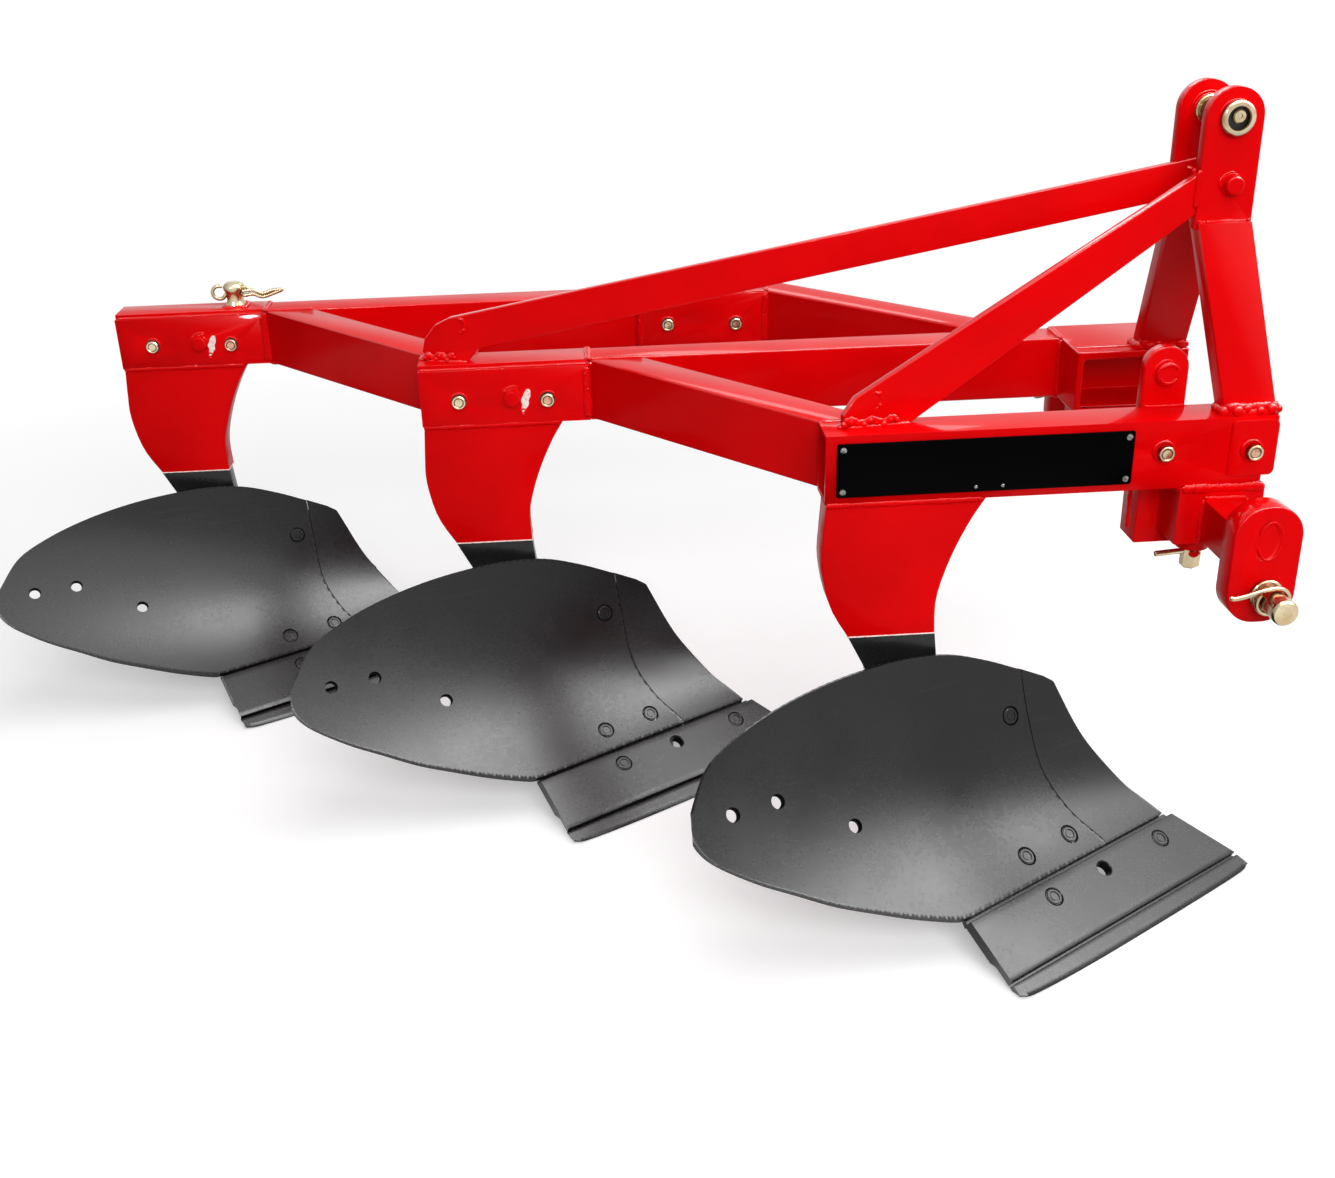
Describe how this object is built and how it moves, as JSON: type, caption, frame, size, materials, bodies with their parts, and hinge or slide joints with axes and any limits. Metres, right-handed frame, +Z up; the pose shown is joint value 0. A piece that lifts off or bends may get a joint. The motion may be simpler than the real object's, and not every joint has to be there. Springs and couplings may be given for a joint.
{
  "type": "moldboard plough",
  "caption": "Mounted moldboard plough with a stepped box-tube frame, A-frame mast, lower link pins and curved boards with shin, share and landside.",
  "frame": {"origin": "centre of the bounding box in plan, on the floor under shares and landsides", "axes": "+X is the direction of travel, +Y the land side (left), +Z up"},
  "size_m": [1.665, 1.0748, 0.902],
  "materials": {
    "red_paint": "gloss enamel over welded steel",
    "black_paint": "satin black paint on plough steel",
    "yellow_zinc": "yellow passivated zinc plate",
    "nameplate_black": "blank gloss black plate"
  },
  "bodies": {
    "root": {"leg_1": "red_paint", "frog_1": "black_paint", "moldboard_1": "black_paint", "shin_1": "black_paint", "share_1": "black_paint", "landside_1": "black_paint", "leg_2": "red_paint", "frog_2": "black_paint", "moldboard_2": "black_paint", "shin_2": "black_paint", "share_2": "black_paint", "landside_2": "black_paint", "leg_3": "red_paint", "frog_3": "black_paint", "moldboard_3": "black_paint", "shin_3": "black_paint", "share_3": "black_paint", "landside_3": "black_paint", "front_beam": "red_paint", "front_beam_bolt_1": "yellow_zinc", "front_beam_bolt_2": "yellow_zinc", "name_plate": "nameplate_black", "body_tube_2": "red_paint", "leg_bolt_2_1": "yellow_zinc", "leg_bolt_2_2": "yellow_zinc", "body_tube_3": "red_paint", "leg_bolt_3_1": "yellow_zinc", "leg_bolt_3_2": "yellow_zinc", "step_brace_1": "red_paint", "step_brace_2": "red_paint", "middle_beam": "red_paint", "far_beam": "red_paint", "far_splice": "red_paint", "splice_bolt_1": "yellow_zinc", "splice_bolt_2": "yellow_zinc", "far_brace": "red_paint", "cross_box": "red_paint", "mast_near": "red_paint", "mast_far": "red_paint", "top_link_pin": "yellow_zinc", "top_pin_collar": "yellow_zinc", "mast_bolt": "red_paint", "short_stay": "red_paint", "long_stay": "red_paint", "clamp_bar": "red_paint", "hitch_sleeve_near": "red_paint", "hitch_sleeve_far": "red_paint", "lock_pin_near": "yellow_zinc", "lock_pin_far": "yellow_zinc", "hitch_arm_near": "red_paint", "hitch_arm_far": "red_paint", "lower_link_pin_near": "yellow_zinc", "lower_link_pin_far": "yellow_zinc", "linch_pin_near": "yellow_zinc", "linch_pin_far": "yellow_zinc", "rear_pin": "yellow_zinc"}
  },
  "joints": []
}
